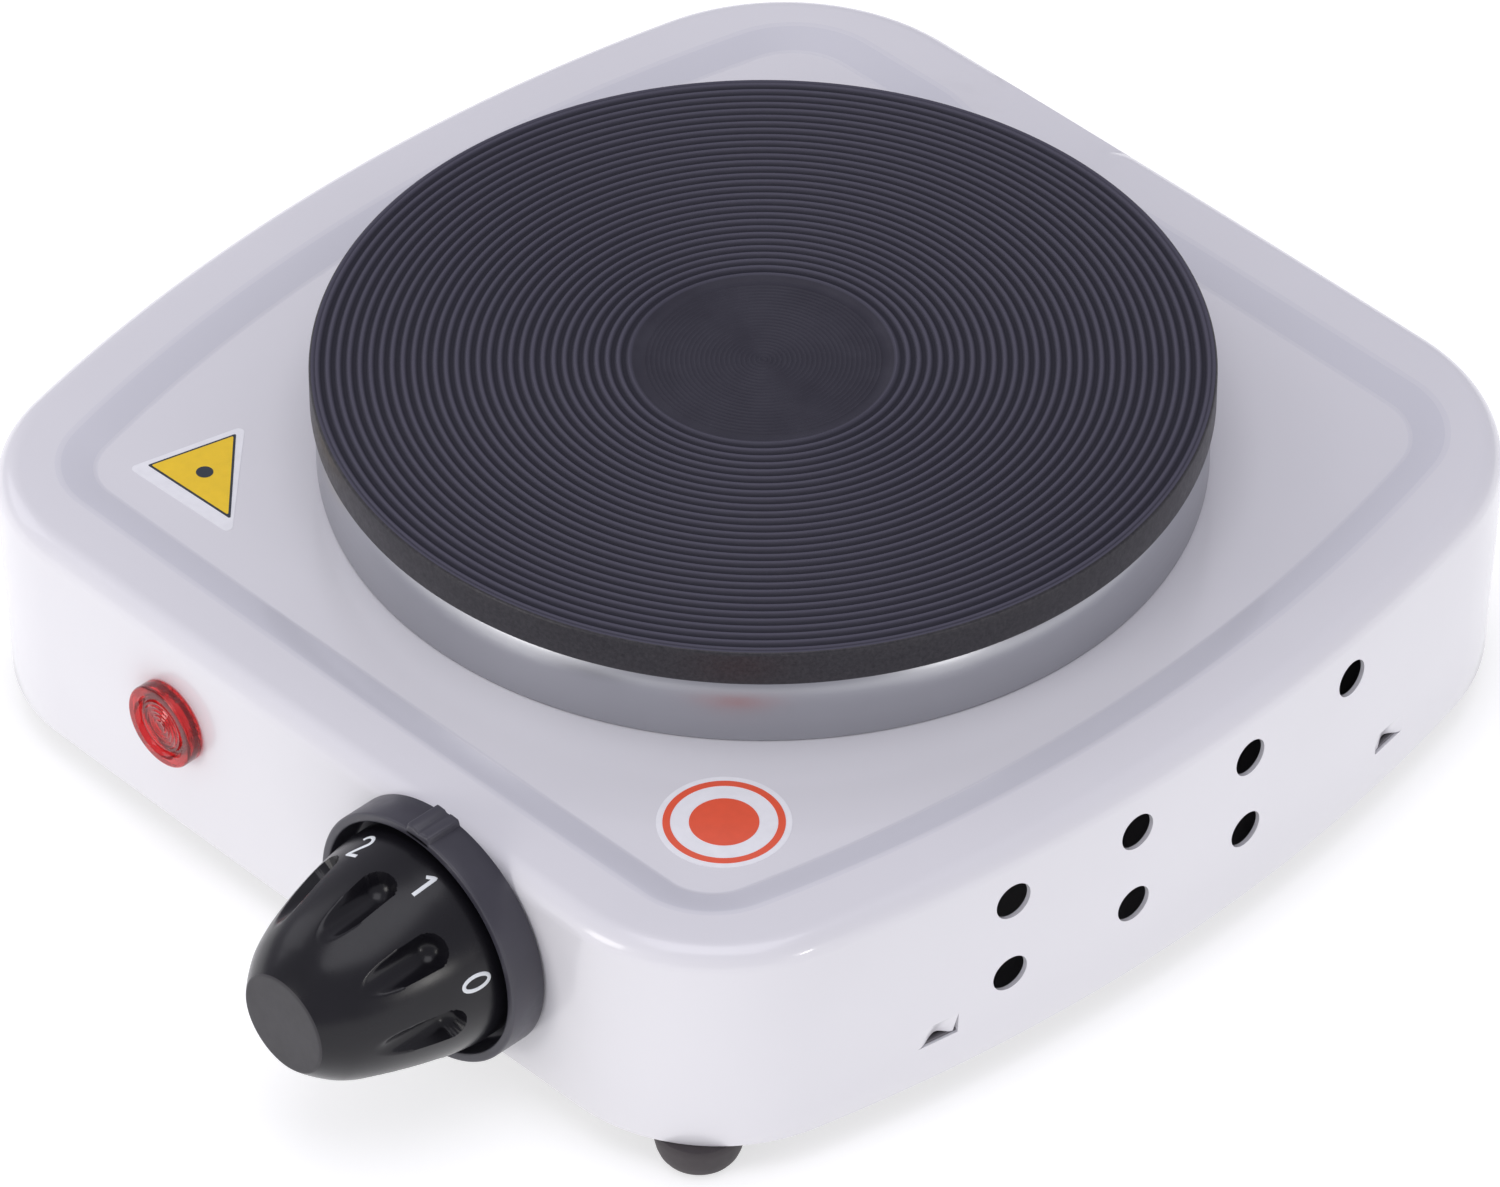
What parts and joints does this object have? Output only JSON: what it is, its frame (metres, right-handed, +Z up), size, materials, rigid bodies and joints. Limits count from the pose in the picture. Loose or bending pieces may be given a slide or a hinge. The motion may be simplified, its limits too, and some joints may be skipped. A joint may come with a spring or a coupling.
{
  "type": "hot plate burner",
  "caption": "Portable electric hot plate: round ribbed cast-iron plate in a steel ring on a low white bowed housing with a front control knob, pilot lamp and rubber feet.",
  "frame": {"origin": "on the table, under the middle of the whole burner's box", "axes": "+Z up, front with the knob towards -Y, +X to the right seen from the front"},
  "size_m": [0.2136, 0.2493, 0.0685],
  "materials": {
    "enamel": "gloss white powder coat, slightly cool",
    "enamel_base": "satin pale grey coat",
    "foot_rubber": "matt black rubber",
    "zinc_steel": "zinc-plated steel",
    "cast_iron": "fine concentric turned grooves under black heat-proof coat",
    "coil_wire": "oxidised resistance wire",
    "magnesia": "pressed magnesia powder",
    "steatite": "unglazed steatite",
    "stainless": "bright rolled stainless steel",
    "aluminised": "aluminised sheet",
    "brass": "plain brass",
    "black_plastic": "matt black",
    "knob_plastic": "glossy black phenolic",
    "bezel_plastic": "satin black",
    "red_lens": "translucent red",
    "lamp_glass": "clear glass",
    "grommet_plastic": "satin black",
    "nylon": "natural nylon",
    "lead_brown": "brown insulation",
    "lead_blue": "blue insulation",
    "lead_white": "white insulation",
    "lead_green": "green and yellow insulation",
    "yellow_label": "laminated label, yellow with dark border",
    "orange_label": "laminated label, orange-red on white"
  },
  "bodies": {
    "root": {"base_brackets": "zinc_steel", "base_plate": "enamel_base", "base_screws": "zinc_steel", "bimetal_strip": "zinc_steel", "blade_insulators": "steatite", "bridge_bar": "zinc_steel", "coil_insulation": "magnesia", "contact_blades": "brass", "cord_grommet": "grommet_plastic", "cutout_lead": "lead_brown", "dial_bezel": "bezel_plastic", "earth_lead": "lead_green", "earth_screw": "brass", "earth_tag": "brass", "foot_front_left": "foot_rubber", "foot_front_right": "foot_rubber", "foot_nuts": "zinc_steel", "foot_rear_left": "foot_rubber", "foot_rear_right": "foot_rubber", "foot_screws": "zinc_steel", "heat_shield": "aluminised", "hot_plate": "cast_iron", "housing_shell": "enamel", "inner_heating_coil": "coil_wire", "lamp_clip": "zinc_steel", "lamp_holder": "black_plastic", "lamp_leads": "lead_white", "lamp_lens": "red_lens", "live_lead": "lead_brown", "mains_terminal_block": "nylon", "mains_terminal_screws": "brass", "neon_tube": "lamp_glass", "neutral_lead": "lead_blue", "outer_heating_coil": "coil_wire", "plate_cover": "zinc_steel", "plate_stud": "zinc_steel", "plate_terminal_block": "steatite", "plate_terminal_pins": "zinc_steel", "round_label": "orange_label", "spill_ring": "stainless", "stud_nut": "zinc_steel", "stud_washer": "zinc_steel", "thermal_cutout": "aluminised", "thermostat_body": "steatite", "thermostat_bracket": "zinc_steel", "thermostat_lead": "lead_brown", "thermostat_screws": "zinc_steel", "triangle_label": "yellow_label"},
    "control": {"control_knob": "knob_plastic", "thermostat_shaft": "zinc_steel", "control_cam": "black_plastic", "knob_spring": "zinc_steel"}
  },
  "joints": [
    {"name": "knob_turn", "type": "hinge", "parent": "root", "child": "control", "pos_m": [0.0354, -0.088, 0.0304], "axis": [0, 1, 0], "range_deg": [-75, 165]}
  ]
}
